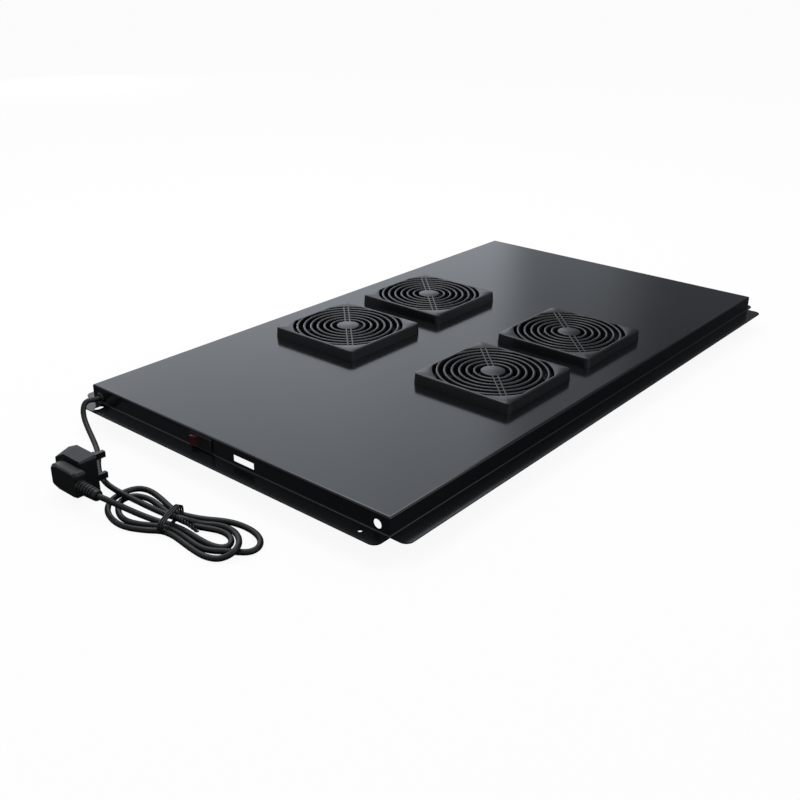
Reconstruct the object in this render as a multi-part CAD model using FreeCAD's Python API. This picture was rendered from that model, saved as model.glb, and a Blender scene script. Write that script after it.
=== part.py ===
import FreeCAD, Part
import math
import os

# Rack fan tray: a folded sheet-steel panel that carries four 120 mm mains fans, each under a
# plastic guard, with a rocker switch and a mains cord with its plug.
# Frame: +X along the short front edge, +Y towards the back, +Z up. The origin is at the middle
# of the tray, on the surface that the four fans stand on. All sizes are in millimetres.

V = FreeCAD.Vector
UP = V(0, 0, 1)

# ---- tray: one folded sheet ----
tray_width = 420.0        # outside of the walls, along X
tray_length = 750.0       # outside of the walls, along Y
wall_height = 20.0        # underside of the flange to the top of the panel
flange_width = 19.0       # beyond the outside of the wall
flange_corner = 8.0       # radius at the free corners of each flange
sheet = 1.2               # sheet thickness
bend_inside = 1.2         # inside radius of every bend

# ---- fans ----
fan_size = 119.5          # square frame
fan_depth = 38.0
fan_corner = 6.0          # corner radius of the frame
fan_flange = 5.0          # thickness of the two square flanges
fan_bore_edge = 2.75      # least width of the flange beside the duct that the impeller turns in
fan_duct_wall = 2.2
fan_hole_edge = 7.35      # middle of each screw hole to the sides of the frame
fan_hole = 4.3
strut_count = 4
strut_width = 6.0
strut_height = 4.0
strut_recess = 1.7        # motor plate below the frame's top face
strut_turn = 18.0         # degrees from the frame's middle line
motor_plate = 2.5
bearing_tube = 14.0       # outside of the tube that holds the sleeve bearing
shaft_diameter = 4.0
running_gap = 0.03        # radial, shaft in its bearing
seat_gap = 0.02           # radial, pieces pressed or bonded together
hub_diameter = 62.0
hub_wall = 2.0
hub_cap = 2.5
hub_bottom = 5.0          # hub's closed face above the frame's lower face
hub_edge = 2.5            # bevel of the closed end
hub_gap = 1.0             # axial, between the hub's rim and the struts
magnet_gap = 1.5          # radial, between the hub's wall and the stator
stator_end_gap = 3.5      # axial, at both ends of the stator
stator_sides = 16
blade_count = 5
blade_tip_gap = 1.3       # radial, between blade and duct
blade_thickness = 1.6
blade_camber = 2.6        # rise of the blade's arc over its chord
blade_chord_root = 28.0
blade_chord_tip = 44.0
blade_pitch_root = 50.0   # degrees from the plane of rotation
blade_pitch_tip = 30.0
blade_sweep = 16.0        # degrees that the tip trails the root

# ---- where the fans sit on the tray ----
fan_pitch_x = 213.5
fan_pitch_y = 157.7
fan_group_x = 3.4         # middle of the four fans
fan_group_y = -7.1

# ---- plastic fan guards: a screwed base and a snap-on grille ----
guard_overhang = 2.5      # square rim beyond the sides of the fan's frame
guard_height = 12.0
guard_draft = 0.7         # each side leans in by this much at the top
guard_corner = 5.0
guard_wall = 1.8
guard_top = 2.2           # thickness of the top face
guard_gap = 0.3           # between the base and the grille's walls
guard_lift = 30.0         # travel of the grille when it is pulled off
guard_rim = 4.0           # least width of the top face beside the round opening
guard_opening_over = 15.5  # the opening's diameter beyond the flats that cut it off at the sides
guard_base_plate = 3.0
guard_base_rim = 1.65     # least width of the base beside its round opening
ring_pitch = 8.1
ring_first = 20.2         # middle radius of the smallest ring
ring_count = 6
ring_width = 2.4
ring_height = 4.0
ring_sides = 24
disc_diameter = 27.0
rib_width = 1.6
rib_spacing = 5.6         # between the two ribs of the pair
rib_height = 4.0

# ---- screws through guard base and panel into the fan frame ----
screw_shank = 3.9
screw_head = 8.0
screw_head_height = 2.2
screw_head_gap = 0.12
screw_length = 9.5

# ---- openings in the front wall and flange, heights above the flange's underside ----
cable_hole = 9.5
cable_hole_from_side = 14.4  # from the outside of each side wall: cord bush left, spare hole right
cable_hole_height = 8.2
slot_x = 28.5
slot_width = 29.0
slot_height = 7.6
slot_centre_height = 8.2
switch_x = -32.0
switch_centre_height = 9.8
flange_slot_from_side = 20.5
flange_slot_length = 11.0
flange_slot_width = 6.5
flange_hole_from_side = 25.8
flange_hole = 4.2
flange_hole_out = 9.0     # beyond the outside of the wall

# ---- rocker switch ----
bezel_width = 32.5
bezel_height = 14.0
bezel_depth = 1.5
bezel_corner = 1.5
switch_body_width = 29.8
switch_body_height = 12.2
switch_body_depth = 16.0
cutout_gap = 0.1
rocker_radius = 13.4      # its ends are round about the pivot
rocker_gap = 0.35
rocker_thickness = 10.0
rocker_crown = 3.1        # pivot to the middle of the rocker's face
rocker_dish = 8.0         # degrees, each half of the face rises to its end
rocker_skirt = 4.5        # pivot to the bottom of the rocker
rocker_tilt = 10.0        # each way
pivot_depth = 1.6         # behind the wall's outside
pivot_radius = 1.0
pivot_reach = 0.6
blade_width = 4.8
blade_sheet = 0.8
blade_reach = 8.0
blade_spacing = 9.0

# ---- cord bush and inner parts ----
cord_diameter = 5.6
bush_head = 11.4
bush_head_depth = 3.0
bush_flare = 11.0
bush_flare_depth = 2.5
block_width = 36.0
block_depth = 20.0
block_height = 17.0
block_step = 6.0
block_ways = 3
block_from_wall = 28.0    # length of cord between the wall and the block
block_offset = 8.0        # the block's middle, inwards of the cord
stud_diameter = 5.0
stud_length = 15.0
stud_from_cord = 45.6     # inwards of the cord
stud_from_wall = 36.0
nut_across = 8.0
nut_height = 4.0

# ---- plug: three rectangular pins, standing on the side of its base ----
plug_place = V(-78.0, -471.0, 0.0)   # between the line and neutral pins, on the pin face
plug_width = 42.0         # across the line and neutral pins
plug_shoulder = 26.0      # width at the earth end
plug_earth_reach = 34.0   # line and neutral pins to the earth end
plug_cord_reach = 13.4    # line and neutral pins to the cord end
plug_base_depth = 16.0
plug_base_lean = 3.0      # how far the sides of the base lean in from pin face to groove
plug_waist_depth = 1.8    # groove between the base and the grip
plug_waist_inset = 2.5
plug_depth = 28.5
plug_grip_width = 26.0
plug_grip_shoulder = 21.0
plug_grip_earth = 21.0
plug_grip_cord = 19.0
plug_corner = 4.0
plug_edge = 1.6           # how far the grip's back leans in all round
pin_spacing = 22.2
pin_earth_offset = 22.2
pin_width = 6.35
pin_thickness = 4.0
pin_length = 17.7
earth_pin_width = 8.0
earth_pin_length = 22.7
pin_root = 3.0            # pin inside the body
fuse_width = 7.0
fuse_length = 14.0
fuse_proud = 0.6
boot_length = 28.0
boot_root = 6.2           # radius at the plug
boot_end = 5.3            # radius at the cord
boot_socket = 4.0         # depth of the boot in the grip
boot_axis = 23.5          # behind the pin face

# ---- cord on the surface ----
cord_radius = cord_diameter / 2
hank_height = 14.0
tie_width = 5.0
tie_wall = 1.2
tie_place = V(32.0, -465.0, 0)
tie_turn = 6.0            # degrees about Z
tie_length = 40.0         # across the hank

# ---- worked out ----
bend_outside = bend_inside + sheet
panel_under = fan_depth
panel_top = panel_under + sheet
flange_under = panel_top - wall_height
flange_top = flange_under + sheet
front_y = -tray_length / 2
fan_bore = fan_size - 2 * fan_bore_edge
fan_hole_pitch = fan_size - 2 * fan_hole_edge
guard_size = fan_size + 2 * guard_overhang
guard_base_size = guard_size - 2 * (guard_wall + guard_gap)
guard_opening_flat = guard_size - 2 * guard_rim
guard_opening = guard_opening_flat + guard_opening_over
guard_base_opening = guard_base_size - 2 * guard_base_rim
cable_hole_x = tray_width / 2 - cable_hole_from_side
stud_x = stud_from_cord - cable_hole_x
flange_slot_x = flange_slot_from_side - tray_width / 2
flange_hole_x = tray_width / 2 - flange_hole_from_side
cable_z = flange_under + cable_hole_height
switch_z = flange_under + switch_centre_height
FANS = [
    V(fan_group_x + sx * fan_pitch_x / 2, fan_group_y + sy * fan_pitch_y / 2, 0)
    for sx, sy in ((-1, -1), (1, -1), (-1, 1), (1, 1))
]


# ---------------------------------------------------------------- small helpers
def arc(centre, start, middle, end):
    """Arc edge about a centre, by three points given relative to it."""
    return Part.Arc(centre + start, centre + middle, centre + end).toShape()


def line(a, b):
    return Part.LineSegment(a, b).toShape()


def rounded_rectangle(width, height, radius, z, centre=V(0, 0, 0)):
    """Closed wire in a level plane: four sides joined by quarter circles."""
    x, y = width / 2 - radius, height / 2 - radius
    edges = []
    for k in range(4):
        a = math.radians(90 * k)
        cx = x if k in (0, 3) else -x
        cy = y if k in (0, 1) else -y
        c = V(cx, cy, z) + centre
        start = V(math.cos(a), math.sin(a), 0) * radius
        middle = V(math.cos(a + math.pi / 4), math.sin(a + math.pi / 4), 0) * radius
        end = V(-math.sin(a), math.cos(a), 0) * radius
        edges.append(arc(c, start, middle, end))
    wires = []
    for k in range(4):
        wires.append(edges[k])
        wires.append(line(edges[k].Vertexes[-1].Point, edges[(k + 1) % 4].Vertexes[0].Point))
    return Part.Wire(wires)


def rounded_prism(width, height, radius, low, high, centre=V(0, 0, 0)):
    """Upright block with rounded vertical edges."""
    wire = rounded_rectangle(width, height, radius, low, centre)
    return Part.Face(wire).extrude(V(0, 0, high - low))


def rod(radius, low, high, centre=V(0, 0, 0)):
    """Upright cylinder between two heights."""
    return Part.makeCylinder(radius, high - low, V(centre.x, centre.y, low), UP)


def ring(outer, inner, low, high, centre=V(0, 0, 0)):
    return rod(outer, low, high, centre).cut(rod(inner, low - 1, high + 1, centre))


def block(x0, x1, y0, y1, z0, z1):
    return Part.makeBox(x1 - x0, y1 - y0, z1 - z0, V(x0, y0, z0))


def fuse_all(shapes):
    whole = shapes[0].multiFuse(shapes[1:]) if len(shapes) > 1 else shapes[0]
    return whole.removeSplitter()


def turned(shape, degrees, axis=UP, about=V(0, 0, 0)):
    copy = shape.copy()
    copy.rotate(about, axis, degrees)
    return copy


def moved(shape, by):
    copy = shape.copy()
    copy.translate(by)
    return copy


def square_pattern(pitch):
    """The four corners of a square pattern about a middle."""
    h = pitch / 2
    return [V(-h, -h, 0), V(h, -h, 0), V(h, h, 0), V(-h, h, 0)]


# ---------------------------------------------------------------- tray panel
def folded_side(run, half_depth):
    """One side of the tray, facing -Y: bend, wall, bend and flange as one Z-shaped section.

    The wall is mitred at 45 degrees at both ends, and the flange ends square with the corner.
    """
    c_top = V(0, bend_outside, panel_top - bend_outside)
    c_low = V(0, -bend_inside, flange_top + bend_inside)
    s = math.sqrt(0.5)

    def bend(centre, radius, y_sign, z_sign):
        """Quarter bend from straight up or down to sideways."""
        return (
            centre + V(0, 0, z_sign * radius),
            centre + V(0, y_sign * radius * s, z_sign * radius * s),
            centre + V(0, y_sign * radius, 0),
        )

    top_out = bend(c_top, bend_outside, -1, 1)
    top_in = bend(c_top, bend_inside, -1, 1)
    low_in = bend(c_low, bend_inside, 1, -1)
    low_out = bend(c_low, bend_outside, 1, -1)
    tip_top = V(0, -flange_width, flange_top)
    tip_under = V(0, -flange_width, flange_under)
    section = Part.Wire([
        Part.Arc(*top_out).toShape(),
        line(top_out[2], low_in[2]),
        Part.Arc(*reversed(low_in)).toShape(),
        line(low_in[0], tip_top),
        line(tip_top, tip_under),
        line(tip_under, low_out[0]),
        Part.Arc(*low_out).toShape(),
        line(low_out[2], top_in[2]),
        Part.Arc(*reversed(top_in)).toShape(),
        line(top_in[0], top_out[0]),
    ])
    strip = Part.Face(section).extrude(V(run, 0, 0))
    strip.translate(V(-run / 2, -half_depth, 0))

    x, r = run / 2, flange_corner
    y, m = -half_depth, bend_outside
    yo = y - flange_width
    left = V(-x + r, yo + r, 0)
    right = V(x - r, yo + r, 0)
    plan = Part.Wire([
        line(V(-x, y, 0), V(-x, yo + r, 0)),
        arc(left, V(-r, 0, 0), V(-r * s, -r * s, 0), V(0, -r, 0)),
        line(V(-x + r, yo, 0), V(x - r, yo, 0)),
        arc(right, V(0, -r, 0), V(r * s, -r * s, 0), V(r, 0, 0)),
        line(V(x, yo + r, 0), V(x, y, 0)),
        line(V(x, y, 0), V(x - m, y + m, 0)),
        line(V(x - m, y + m, 0), V(-x + m, y + m, 0)),
        line(V(-x + m, y + m, 0), V(-x, y, 0)),
    ])
    return strip.common(Part.Face(plan).extrude(V(0, 0, 2 * panel_top)))


def wall_cutter(x, height, width, tall):
    """Upright rectangular opening through the front wall."""
    z = flange_under + height
    return block(x - width / 2, x + width / 2, front_y - 5, front_y + 5, z - tall / 2, z + tall / 2)


def tray_panel():
    inner_w = tray_width - 2 * bend_outside
    inner_l = tray_length - 2 * bend_outside
    plate = block(-inner_w / 2, inner_w / 2, -inner_l / 2, inner_l / 2, panel_under, panel_top)
    front = folded_side(tray_width, tray_length / 2)
    side = folded_side(tray_length, tray_width / 2)
    shape = fuse_all([plate, front, turned(front, 180), turned(side, 90), turned(side, -90)])

    cutters = []
    for fan in FANS:
        cutters.append(rod(fan_bore / 2, panel_under - 1, panel_top + 1, fan))
        for p in square_pattern(fan_hole_pitch):
            cutters.append(rod(fan_hole / 2, panel_under - 1, panel_top + 1, fan + p))
    for x in (-cable_hole_x, cable_hole_x):
        place = V(x, front_y - 5, cable_z)
        cutters.append(Part.makeCylinder(cable_hole / 2, 10, place, V(0, 1, 0)))
    cutters.append(wall_cutter(slot_x, slot_centre_height, slot_width, slot_height))
    cutters.append(wall_cutter(
        switch_x, switch_centre_height,
        switch_body_width + 2 * cutout_gap, switch_body_height + 2 * cutout_gap,
    ))
    for side_sign in (-1, 1):
        y = side_sign * (tray_length / 2 + flange_hole_out)
        cutters.append(rounded_prism(
            flange_slot_width, flange_slot_length, flange_slot_width / 2 - 0.001,
            flange_under - 1, flange_top + 1, V(flange_slot_x, y, 0),
        ))
        cutters.append(rod(flange_hole / 2, flange_under - 1, flange_top + 1, V(flange_hole_x, y, 0)))
    return shape.cut(Part.makeCompound(cutters))


# ---------------------------------------------------------------- fan guards
def guard_opening_prism(low, high, grow=0.0):
    """The grille's opening: a circle cut off flat on its four sides."""
    flat = guard_opening_flat + 2 * grow
    square = block(-flat / 2, flat / 2, -flat / 2, flat / 2, low, high)
    return rod(guard_opening / 2 + grow, low, high).common(square)


def grille_ring(radius, top):
    """Ring with a ridge section: flat below, two sloping faces above."""
    half = ring_width / 2
    low = top - ring_height
    corners = [V(radius - half, 0, low), V(radius + half, 0, low), V(radius, 0, top)]
    step = 360.0 / ring_sides
    stations = [
        Part.makePolygon([*[turned_point(c, step * k) for c in corners], turned_point(corners[0], step * k)])
        for k in range(ring_sides)
    ]
    faces = []
    for k in range(ring_sides):
        a, b = stations[k].Vertexes, stations[(k + 1) % ring_sides].Vertexes
        for i in range(3):
            j = (i + 1) % 3
            loop = [a[i].Point, b[i].Point, b[j].Point, a[j].Point, a[i].Point]
            faces.append(Part.Face(Part.makePolygon(loop)))
    return Part.Solid(Part.Shell(faces))


def turned_point(point, degrees):
    a = math.radians(degrees)
    return V(
        point.x * math.cos(a) - point.y * math.sin(a),
        point.x * math.sin(a) + point.y * math.cos(a),
        point.z,
    )


def guard_cover():
    """Snap-on grille: a drafted shell with six rings, a diagonal pair of ribs and a centre disc."""
    top = panel_top + guard_height
    inside = guard_size - 2 * guard_wall
    outer = Part.makeLoft([
        rounded_rectangle(guard_size, guard_size, guard_corner, panel_top),
        rounded_rectangle(guard_size - 2 * guard_draft, guard_size - 2 * guard_draft, guard_corner, top),
    ], True, True)
    inner = Part.makeLoft([
        rounded_rectangle(inside, inside, guard_corner - guard_wall, panel_top),
        rounded_rectangle(inside - 2 * guard_draft, inside - 2 * guard_draft,
                          guard_corner - guard_wall, top - guard_top),
    ], True, True)
    shell = outer.cut(inner).cut(guard_opening_prism(top - guard_height, top + 1))
    long = guard_opening + 4
    ribs = [
        block(-long / 2, long / 2, y - rib_width / 2, y + rib_width / 2, top - rib_height, top)
        for y in (-rib_spacing / 2, rib_spacing / 2)
    ]
    grille = [grille_ring(ring_first + k * ring_pitch, top) for k in range(ring_count)]
    grille += [turned(r, -45) for r in ribs]
    grille.append(rod(disc_diameter / 2, top - rib_height, top))
    clipped = fuse_all(grille).common(guard_opening_prism(top - rib_height, top, 0.4))
    return shell.fuse(clipped).removeSplitter()


def guard_base():
    """Screwed base: square plate with a round opening and four countersunk holes."""
    high = panel_top + guard_base_plate
    plate = rounded_prism(guard_base_size, guard_base_size, guard_corner - guard_wall, panel_top, high)
    shape = plate.cut(rod(guard_base_opening / 2, panel_top - 1, high + 1))
    for p in square_pattern(fan_hole_pitch):
        shape = shape.cut(rod(fan_hole / 2, panel_top - 1, high + 1, p))
        cone = Part.makeCone(screw_shank / 2, screw_head / 2 + screw_head_gap, screw_head_height,
                             V(p.x, p.y, high - screw_head_height), UP)
        shape = shape.cut(cone)
    return shape.removeSplitter()


def fan_screw():
    """Countersunk self-cutting screw, its head level with the guard base."""
    top = panel_top + guard_base_plate
    cone = Part.makeCone(screw_shank / 2, screw_head / 2, screw_head_height,
                         V(0, 0, top - screw_head_height), UP)
    return cone.fuse(rod(screw_shank / 2, top - screw_length, top - screw_head_height + 0.2)).removeSplitter()


# ---------------------------------------------------------------- fans
def fan_levels():
    """Heights inside the fan: struts' underside, hub's rim and hub's closed face."""
    strut_under = fan_depth - strut_recess - strut_height
    return strut_under, strut_under - hub_gap, hub_bottom


def fan_housing():
    """Cast frame: two square flanges on a round duct, with four struts that carry the motor plate."""
    strut_under, rim, closed = fan_levels()
    duct = rod(fan_bore / 2 + fan_duct_wall, fan_flange - 0.5, fan_depth - fan_flange + 0.5)
    low = rounded_prism(fan_size, fan_size, fan_corner, 0, fan_flange)
    high = rounded_prism(fan_size, fan_size, fan_corner, fan_depth - fan_flange, fan_depth)
    frame = low.fuse(high).fuse(duct).cut(rod(fan_bore / 2, -1, fan_depth + 1))
    for p in square_pattern(fan_hole_pitch):
        frame = frame.cut(rod(fan_hole / 2, -1, fan_depth + 1, p))
    motor_top = fan_depth - strut_recess
    pieces = [frame, rod(hub_diameter / 2, motor_top - motor_plate, motor_top)]
    pieces.append(rod(bearing_tube / 2, closed + hub_cap + stator_end_gap, motor_top))
    reach = fan_bore / 2 + fan_duct_wall / 2
    for k in range(strut_count):
        strut = block(hub_diameter / 2 - 3, reach, -strut_width / 2, strut_width / 2, strut_under, motor_top)
        pieces.append(turned(strut, strut_turn + 360.0 * k / strut_count))
    shape = fuse_all(pieces)
    return shape.cut(rod(shaft_diameter / 2 + running_gap, 0, motor_top - motor_plate / 2))


def blade_section(radius, chord, pitch, lag):
    """Thin cambered profile on the plane square to the radius: two arcs that meet in sharp edges."""
    a = math.radians(lag)
    out = V(math.cos(a), math.sin(a), 0)
    along = V(-math.sin(a), math.cos(a), 0)
    p = math.radians(pitch)
    run = along * math.cos(p) + UP * math.sin(p)
    rise = along * -math.sin(p) + UP * math.cos(p)
    middle = out * radius + UP * blade_mid
    first, last = middle - run * (chord / 2), middle + run * (chord / 2)
    top = middle + rise * (blade_camber + blade_thickness / 2)
    under = middle + rise * (blade_camber - blade_thickness / 2)
    return Part.Wire([Part.Arc(first, top, last).toShape(), Part.Arc(last, under, first).toShape()])


blade_mid = (fan_levels()[1] + fan_levels()[2]) / 2


def fan_rotor():
    """Impeller: a cup hub with swept, twisted and cambered blades lofted from root to tip."""
    strut_under, rim, closed = fan_levels()
    r = hub_diameter / 2
    inner = r - hub_wall
    hub = rod(r, closed, rim)
    hub = hub.makeChamfer(hub_edge, [e for e in hub.Edges if e.BoundBox.ZMax < closed + 0.01])
    hub = hub.cut(rod(inner, closed + hub_cap, rim + 1))
    boss = rod(shaft_diameter / 2 + 2.5, closed + hub_cap - 0.5, closed + hub_cap + stator_end_gap - 0.5)
    tip = fan_bore / 2 - blade_tip_gap
    stations = [(inner + 0.4, 0.0), (tip + 0.8, 1.0)]
    wires = []
    for radius, share in stations:
        chord = blade_chord_root + share * (blade_chord_tip - blade_chord_root)
        pitch = blade_pitch_root + share * (blade_pitch_tip - blade_pitch_root)
        wires.append(blade_section(radius, chord, pitch, -blade_sweep * share))
    blade = Part.makeLoft(wires, True, True)
    blade = blade.common(ring(tip, inner + 0.5, 0, fan_depth))
    pieces = [hub, boss] + [turned(blade, 360.0 * k / blade_count) for k in range(blade_count)]
    shape = fuse_all(pieces)
    return shape.cut(rod(shaft_diameter / 2 + seat_gap, 0, fan_depth))


def fan_shaft():
    strut_under, rim, closed = fan_levels()
    return rod(shaft_diameter / 2, closed + 0.3, fan_depth - strut_recess - motor_plate / 2 - 0.3)


def fan_stator():
    """Wound stator of the shaded-pole motor: a stack with flat sides on the bearing tube."""
    strut_under, rim, closed = fan_levels()
    outer = hub_diameter / 2 - hub_wall - magnet_gap
    low, high = closed + hub_cap + stator_end_gap, strut_under - stator_end_gap
    corners = [turned_point(V(outer, 0, low), 360.0 * k / stator_sides) for k in range(stator_sides + 1)]
    stack = Part.Face(Part.makePolygon(corners)).extrude(V(0, 0, high - low))
    return stack.cut(rod(bearing_tube / 2 + seat_gap, low - 1, high + 1))


# ---------------------------------------------------------------- rocker switch
def switch_body():
    """Snap-in body and bezel with a pocket for the rocker."""
    z, w, h = switch_z, switch_body_width / 2, switch_body_height / 2
    body = block(switch_x - w, switch_x + w, front_y - 0.5, front_y + switch_body_depth, z - h, z + h)
    bezel = rounded_prism(bezel_width, bezel_height, bezel_corner, 0, bezel_depth)
    bezel = turned(bezel, 90, V(1, 0, 0))
    bezel.translate(V(switch_x, front_y, z))
    wide = rocker_radius + rocker_gap
    tall = rocker_thickness / 2 + rocker_gap
    deep = pivot_depth + rocker_skirt + 4
    pocket = block(switch_x - wide, switch_x + wide, front_y - 5, front_y + deep, z - tall, z + tall)
    shape = body.fuse(bezel).removeSplitter().cut(pocket)
    holes = Part.makeCylinder(
        pivot_radius + running_gap, rocker_thickness + 2 * (rocker_gap + pivot_reach),
        V(switch_x, front_y + pivot_depth, z - rocker_thickness / 2 - rocker_gap - pivot_reach), UP,
    )
    return shape.cut(holes)


def switch_rocker():
    """Rocker with round ends about its pivot and a dished face, stored tipped to its off side."""
    r = rocker_radius
    low = switch_z - rocker_thickness / 2
    high = switch_z + rocker_thickness / 2
    rise = 2 * r * math.tan(math.radians(rocker_dish))
    section = Part.makePolygon([
        V(-2 * r, -rocker_crown - rise, low), V(0, -rocker_crown, low), V(2 * r, -rocker_crown - rise, low),
        V(2 * r, 0, low), V(r * 0.5, rocker_skirt, low), V(-r * 0.5, rocker_skirt, low), V(-2 * r, 0, low),
        V(-2 * r, -rocker_crown - rise, low),
    ])
    shape = Part.Face(section).extrude(V(0, 0, high - low)).common(rod(r, low, high))
    pin = rod(pivot_radius, low - pivot_reach, high + pivot_reach)
    shape = shape.fuse(pin).removeSplitter()
    shape = turned(shape, rocker_tilt)
    shape.translate(V(switch_x, front_y + pivot_depth, 0))
    return shape


def switch_blades():
    y = front_y + switch_body_depth
    h, t = blade_width / 2, blade_sheet / 2
    return Part.makeCompound([
        block(switch_x + k * blade_spacing - t, switch_x + k * blade_spacing + t,
              y, y + blade_reach, switch_z - h, switch_z + h)
        for k in (-1, 0, 1)
    ])


# ---------------------------------------------------------------- cord bush, terminals, earth stud
def revolved(points, place, direction):
    """Solid turned about the line through place along direction; points are (radius, distance)."""
    side = V(0, 0, 1)
    loop = [place + side * r + direction * d for r, d in points]
    face = Part.Face(Part.makePolygon([*loop, loop[0]]))
    return face.revolve(place, direction, 360)


def cord_bush():
    """Strain-relief bush: head outside the wall, shank in the hole and flare inside."""
    bore = cord_radius + seat_gap
    shank = cable_hole / 2 - seat_gap
    head, flare = bush_head / 2, bush_flare / 2
    points = [
        (bore, -bush_head_depth), (head - 1.2, -bush_head_depth), (head, -bush_head_depth + 1.2), (head, 0),
        (shank, 0), (shank, sheet), (flare, sheet), (flare, sheet + 0.8),
        (shank, sheet + bush_flare_depth), (bore, sheet + bush_flare_depth),
    ]
    return revolved(points, V(-cable_hole_x, front_y, cable_z), V(0, 1, 0))


def cord_inner_end():
    """The sheathed end of the cord, from the bush to the terminal block."""
    start = front_y - bush_head_depth
    return Part.makeCylinder(cord_radius, block_from_wall + bush_head_depth,
                             V(-cable_hole_x, start, cable_z), V(0, 1, 0))


def block_origin():
    return V(block_offset - cable_hole_x, front_y + block_from_wall, panel_under)


def terminal_block():
    """Three-way terminal block under the panel: a base with a rounded barrel for each way."""
    o = block_origin()
    w, low = block_width / 2, o.z - block_height
    step_low = o.z - block_step
    base = block(o.x - w, o.x + w, o.y, o.y + block_depth, step_low, o.z)
    way = block_width / block_ways
    pieces = [base]
    for k in range(block_ways):
        x = o.x - w + way * (k + 0.5)
        r = way * 0.42
        barrel = Part.makeCylinder(r, block_depth, V(x, o.y, low + r), V(0, 1, 0))
        pieces.append(barrel)
        pieces.append(block(x - r, x + r, o.y, o.y + block_depth, low + r, step_low + 0.5))
    return fuse_all(pieces)


def stud_place():
    return V(stud_x, front_y + stud_from_wall, 0)


def earth_stud():
    return rod(stud_diameter / 2, panel_under - stud_length, panel_under, stud_place())


def earth_nut():
    """Hexagon nut against the panel."""
    p = stud_place()
    r = nut_across / 2 / math.cos(math.radians(30))
    corners = [p + V(r * math.cos(math.radians(a)), r * math.sin(math.radians(a)), panel_under - nut_height)
               for a in range(0, 361, 60)]
    hexagon = Part.Face(Part.makePolygon(corners)).extrude(V(0, 0, nut_height))
    return hexagon.cut(rod(stud_diameter / 2 + seat_gap, panel_under - nut_height - 1, panel_under + 1, p))


# ---------------------------------------------------------------- plug
# Plug frame: origin on the pin face between the line and neutral pins, x towards the cord,
# y the way the pins point, z across the line and neutral pins.
def plug_placed(shape):
    """Set the plug down at its place, on the side of its base."""
    return moved(shape, plug_place + V(0, 0, plug_width / 2))


def plug_outline(width, shoulder, earth, cord, corner, y):
    """Outline of the plug seen along its pins: full width at the cord end, narrower at the earth end."""
    w, s, turn = width / 2, shoulder / 2, earth * 0.5
    points = [V(cord, y, -w), V(cord, y, w), V(-turn, y, w), V(-earth, y, s), V(-earth, y, -s), V(-turn, y, -w)]
    cuts = []
    for k, here in enumerate(points):
        a = (points[k - 1] - here).normalize()
        b = (points[(k + 1) % len(points)] - here).normalize()
        half = a.getAngle(b) / 2
        reach = corner / math.tan(half)
        centre = here + (a + b).normalize() * (corner / math.sin(half))
        cuts.append((here + a * reach, centre + (here - centre).normalize() * corner, here + b * reach))
    edges = []
    for k, (start, middle, end) in enumerate(cuts):
        edges.append(Part.Arc(start, middle, end).toShape())
        edges.append(line(end, cuts[(k + 1) % len(cuts)][0]))
    return Part.Wire(edges)


def plug_body():
    """Moulded body: a thin wide base at the pins, a groove and a smaller grip behind it."""
    def base(inset, y):
        return plug_outline(plug_width - 2 * inset, plug_shoulder - 2 * inset, plug_earth_reach - inset,
                            plug_cord_reach - inset, plug_corner - inset / 2, y)

    def grip(inset, y):
        return plug_outline(plug_grip_width - 2 * inset, plug_grip_shoulder - 2 * inset,
                            plug_grip_earth - inset, plug_grip_cord - inset, plug_corner - inset / 2, y)

    waist_end = plug_base_depth + plug_waist_depth
    back_edge = plug_depth - plug_edge * 1.5
    pieces = [
        Part.makeLoft([base(0, 0), base(plug_base_lean, -plug_base_depth)], True, True),
        Part.makeLoft([grip(plug_waist_inset, -plug_base_depth + 1), grip(plug_waist_inset, -waist_end - 0.5)],
                      True, True),
        Part.makeLoft([grip(0, -waist_end), grip(0, -back_edge)], True, True),
        Part.makeLoft([grip(0, -back_edge), grip(plug_edge, -plug_depth)], True, True),
    ]
    shape = fuse_all(pieces)
    place = V(plug_grip_cord - boot_socket, -boot_axis, 0)
    shape = shape.cut(Part.makeCylinder(boot_root - 1.5, boot_socket + 1, place, V(1, 0, 0)))
    for pocket in plug_pin_bars(seat_gap):
        shape = shape.cut(pocket)
    return shape.cut(plug_fuse_drawer(seat_gap))


def plug_pin_bars(grow=0.0):
    """Line, neutral and earth pins as rectangular bars."""
    g = grow
    bars = []
    for sign in (-1, 1):
        z = sign * pin_spacing / 2
        bars.append(block(-pin_thickness / 2 - g, pin_thickness / 2 + g, -pin_root - g, pin_length,
                          z - pin_width / 2 - g, z + pin_width / 2 + g))
    e = -pin_earth_offset
    bars.append(block(e - earth_pin_width / 2 - g, e + earth_pin_width / 2 + g, -pin_root - g, earth_pin_length,
                      -pin_thickness / 2 - g, pin_thickness / 2 + g))
    return bars


def plug_pins():
    return Part.makeCompound([
        bar.makeChamfer(0.8, [e for e in bar.Edges if e.BoundBox.YMin > pin_length - 1])
        for bar in plug_pin_bars()
    ])


def plug_fuse_drawer(grow=0.0):
    """Fuse drawer in the pin face, between the pins."""
    middle = -pin_earth_offset / 2
    w, h = fuse_width / 2 + grow, fuse_length / 2 + grow
    return block(middle - w, middle + w, -pin_root - grow, fuse_proud, -h, h)


def plug_boot():
    """Tapered strain relief, with a collar against the grip."""
    bore = cord_radius + seat_gap
    inside = boot_root - 1.5 - seat_gap
    points = [
        (bore, -boot_socket), (inside, -boot_socket), (inside, 0), (boot_root, 0),
        (boot_root, boot_length * 0.3), (boot_end, boot_length), (bore, boot_length),
    ]
    return revolved(points, V(plug_grip_cord, -boot_axis, 0), V(1, 0, 0))


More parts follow.
